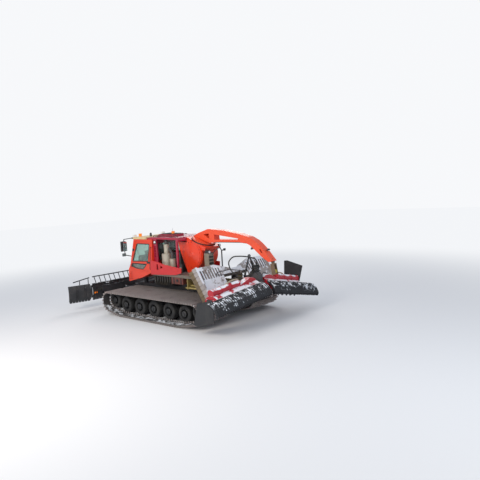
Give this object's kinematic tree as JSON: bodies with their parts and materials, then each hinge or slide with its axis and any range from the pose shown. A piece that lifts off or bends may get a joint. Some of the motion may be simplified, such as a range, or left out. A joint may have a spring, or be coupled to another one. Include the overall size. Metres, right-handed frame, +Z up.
{
  "type": "snow groomer with winch",
  "caption": "Tracked snow groomer with front blade, rear tiller, cab, engine bay and a cable winch with a slewing truss boom.",
  "frame": {"origin": "middle of the box round the machine, on the ground under the tracks", "axes": "-Y is the front, +X the machine's left side, +Z up"},
  "size_m": [5.4038, 8.1975, 3.05],
  "materials": {
    "steel_dark": "semi-gloss",
    "aluminium_shoe": "worn",
    "tyre": "matte",
    "orange_paint": "gloss",
    "crimson_paint": "gloss",
    "cream_paint": "semi-gloss",
    "glass": "clear",
    "grey_plastic": "matte",
    "amber": "gloss",
    "silver_steel": "satin",
    "iron": "rough",
    "hose_rubber": "matte",
    "deck_plate": "matte",
    "lamp_lens": "clear",
    "pipe_khaki": "worn",
    "chrome_rod": "polished",
    "head_steel": "worn",
    "brass_yellow": "worn"
  },
  "bodies": {
    "chassis": {"chassis_frame": "steel_dark", "posts": "steel_dark", "track_left": "aluminium_shoe", "track_right": "aluminium_shoe", "wheels_left": "tyre", "wheels_right": "tyre", "cab_shell": "orange_paint", "cab_roof": "cream_paint", "cab_glass": "glass", "cab_interior": "grey_plastic", "mirrors": "steel_dark", "roof_lamps": "amber", "front_lamps": "lamp_lens", "engine_hood": "crimson_paint", "engine_block": "iron", "silencers": "silver_steel", "cooler": "grey_plastic", "side_fairings": "crimson_paint", "side_tanks": "crimson_paint", "bay_hoses": "hose_rubber", "deck_pipes": "pipe_khaki", "rear_deck": "deck_plate", "rear_guard": "deck_plate", "winch_housing": "orange_paint", "winch_fittings": "steel_dark", "slew_ring": "steel_dark"},
    "left_door": {"door_left": "orange_paint", "door_glass_left": "glass"},
    "right_door": {"door_right": "orange_paint", "door_glass_right": "glass"},
    "winch_boom": {"boom": "orange_paint"},
    "head": {"rope_head": "head_steel"},
    "sheaves": {"rope_sheaves": "brass_yellow"},
    "lift_frame": {"push_frame": "steel_dark"},
    "swing": {"swing_block": "steel_dark"},
    "front_blade": {"blade": "steel_dark"},
    "left_wing": {"wing_left": "steel_dark"},
    "right_wing": {"wing_right": "steel_dark"},
    "blade_lift_barrels": {"blade_barrels": "steel_dark"},
    "blade_lift_rods": {"blade_rods": "chrome_rod"},
    "left_swing_barrel": {"swing_barrel_left": "steel_dark"},
    "left_swing_rod": {"swing_rod_left": "chrome_rod"},
    "right_swing_barrel": {"swing_barrel_right": "steel_dark"},
    "right_swing_rod": {"swing_rod_right": "chrome_rod"},
    "tiller_lower_arms": {"tiller_arms": "steel_dark"},
    "tiller_upper_link": {"tiller_link": "steel_dark"},
    "tiller_lift_barrels": {"tiller_barrels": "steel_dark"},
    "tiller_lift_rods": {"tiller_rods": "chrome_rod"},
    "tiller_mount": {"tiller_head": "steel_dark", "tiller_frame": "steel_dark"},
    "tiller_middle": {"tiller_centre": "iron"},
    "left_tiller": {"tiller_left": "crimson_paint", "finisher_left": "hose_rubber"},
    "left_rotor": {"rotor_left": "iron"},
    "left_side_plate": {"side_plate_left": "steel_dark"},
    "right_tiller": {"tiller_right": "crimson_paint", "finisher_right": "hose_rubber"},
    "right_rotor": {"rotor_right": "iron"},
    "right_side_plate": {"side_plate_right": "steel_dark"}
  },
  "joints": [
    {"name": "left_door_open", "type": "hinge", "parent": "chassis", "child": "left_door", "pos_m": [0.98, -2.15, 1.09], "axis": [0.0861, 0, -0.9963], "range_deg": [0, 65]},
    {"name": "right_door_open", "type": "hinge", "parent": "chassis", "child": "right_door", "pos_m": [-0.98, -2.15, 1.09], "axis": [0.0861, 0, 0.9963], "range_deg": [0, 65]},
    {"name": "boom_slew", "type": "hinge", "parent": "chassis", "child": "winch_boom", "pos_m": [0, 0.905, 2.645], "axis": [0, 0.3584, 0.9336], "continuous": true},
    {"name": "rope_head_swivel", "type": "hinge", "parent": "winch_boom", "child": "head", "pos_m": [0, 3.95, 2.02], "axis": [0, -0.1736, 0.9848], "range_deg": [-60, 60]},
    {"name": "rope_sheaves_spin", "type": "hinge", "parent": "head", "child": "sheaves", "pos_m": [0, 4.0073, 1.69501], "axis": [1, 0, 0], "continuous": true},
    {"name": "blade_lift", "type": "hinge", "parent": "chassis", "child": "lift_frame", "pos_m": [0, -2.35, 0.56], "axis": [-1, 0, 0], "range_deg": [-22, 12]},
    {"name": "blade_swing", "type": "hinge", "parent": "lift_frame", "child": "swing", "pos_m": [0, -3.32, 0.7], "axis": [0, 0, -1], "range_deg": [-15, 15]},
    {"name": "blade_tilt", "type": "hinge", "parent": "swing", "child": "front_blade", "pos_m": [0, -3.64, 0.76], "axis": [0, 1, 0], "range_deg": [-8, 8]},
    {"name": "left_wing_fold", "type": "hinge", "parent": "front_blade", "child": "left_wing", "pos_m": [1.7, -3.795, 0.7], "axis": [0, 0, -1], "range_deg": [-35, 45]},
    {"name": "right_wing_fold", "type": "hinge", "parent": "front_blade", "child": "right_wing", "pos_m": [-1.7, -3.795, 0.7], "axis": [0, 0, 1], "range_deg": [-35, 45]},
    {"name": "blade_barrels_turn", "type": "hinge", "parent": "chassis", "child": "blade_lift_barrels", "pos_m": [0, -2.34, 0.94], "axis": [-1, 0, 0], "range_deg": [-15, 10]},
    {"name": "blade_rods_slide", "type": "slide", "parent": "blade_lift_barrels", "child": "blade_lift_rods", "axis": [0, -0.8708, -0.4916], "range_m": [-0.08, 0.14]},
    {"name": "left_swing_barrel_turn", "type": "hinge", "parent": "lift_frame", "child": "left_swing_barrel", "pos_m": [0.4, -2.86, 0.7], "axis": [0, 0, -1], "range_deg": [-4, 4]},
    {"name": "left_swing_rod_slide", "type": "slide", "parent": "left_swing_barrel", "child": "left_swing_rod", "axis": [-0.2153, -0.9765, 0], "range_m": [-0.085, 0.085]},
    {"name": "right_swing_barrel_turn", "type": "hinge", "parent": "lift_frame", "child": "right_swing_barrel", "pos_m": [-0.4, -2.86, 0.7], "axis": [0, 0, -1], "range_deg": [-4, 4]},
    {"name": "right_swing_rod_slide", "type": "slide", "parent": "right_swing_barrel", "child": "right_swing_rod", "axis": [0.2153, -0.9765, 0], "range_m": [-0.085, 0.085]},
    {"name": "tiller_lift", "type": "hinge", "parent": "chassis", "child": "tiller_lower_arms", "pos_m": [0, 2.3, 0.62], "axis": [1, 0, 0], "range_deg": [-66, 4]},
    {"name": "tiller_link_turn", "type": "hinge", "parent": "chassis", "child": "tiller_upper_link", "pos_m": [0, 2.3, 0.93], "axis": [1, 0, 0], "range_deg": [-68, 6]},
    {"name": "tiller_level", "type": "hinge", "parent": "tiller_lower_arms", "child": "tiller_mount", "pos_m": [0, 2.88, 1.15], "axis": [1, 0, 0], "range_deg": [-6, 68]},
    {"name": "tiller_barrels_turn", "type": "hinge", "parent": "chassis", "child": "tiller_lift_barrels", "pos_m": [0, 2.26, 0.4], "axis": [1, 0, 0], "range_deg": [-36, 4]},
    {"name": "tiller_rods_slide", "type": "slide", "parent": "tiller_lift_barrels", "child": "tiller_lift_rods", "axis": [0, 0.4049, 0.9143], "range_m": [-0.13, 0.02]},
    {"name": "tiller_tilt", "type": "hinge", "parent": "tiller_mount", "child": "tiller_middle", "pos_m": [0, 3.03, 1.36], "axis": [0, 1, 0], "range_deg": [-6, 6]},
    {"name": "left_tiller_flex", "type": "hinge", "parent": "tiller_middle", "child": "left_tiller", "pos_m": [0.15, 3.25, 1.33], "axis": [0, -1, 0], "range_deg": [-4, 10]},
    {"name": "left_rotor_spin", "type": "hinge", "parent": "left_tiller", "child": "left_rotor", "pos_m": [0.97759, 3.3, 1.03676], "axis": [0.9962, 0, -0.0872], "continuous": true},
    {"name": "left_side_plate_fold", "type": "hinge", "parent": "left_tiller", "child": "left_side_plate", "pos_m": [2.24936, 3.26, 1.11622], "axis": [0, 1, 0], "range_deg": [-165, 0]},
    {"name": "right_tiller_flex", "type": "hinge", "parent": "tiller_middle", "child": "right_tiller", "pos_m": [-0.15, 3.25, 1.33], "axis": [0, 1, 0], "range_deg": [-4, 10]},
    {"name": "right_rotor_spin", "type": "hinge", "parent": "right_tiller", "child": "right_rotor", "pos_m": [-0.93907, 3.3, 0.94495], "axis": [0.9799, 0, 0.1994], "continuous": true},
    {"name": "right_side_plate_fold", "type": "hinge", "parent": "right_tiller", "child": "right_side_plate", "pos_m": [-2.21166, 3.26, 0.87994], "axis": [0, -1, 0], "range_deg": [0, 165]}
  ],
  "couplings": [
    {"joint": "blade_barrels_turn", "follows": "blade_lift", "ratio": 0.539},
    {"joint": "blade_rods_slide", "follows": "blade_lift", "m_per_rad": -0.3138},
    {"joint": "left_swing_barrel_turn", "follows": "blade_swing", "ratio": 0.17321},
    {"joint": "left_swing_rod_slide", "follows": "blade_swing", "m_per_rad": 0.29039},
    {"joint": "right_swing_barrel_turn", "follows": "blade_swing", "ratio": 0.17321},
    {"joint": "right_swing_rod_slide", "follows": "blade_swing", "m_per_rad": -0.29039},
    {"joint": "tiller_link_turn", "follows": "tiller_lift", "ratio": 1},
    {"joint": "tiller_level", "follows": "tiller_lift", "ratio": -1},
    {"joint": "tiller_barrels_turn", "follows": "tiller_lift", "ratio": 0.5148},
    {"joint": "tiller_rods_slide", "follows": "tiller_lift", "m_per_rad": 0.0995}
  ]
}
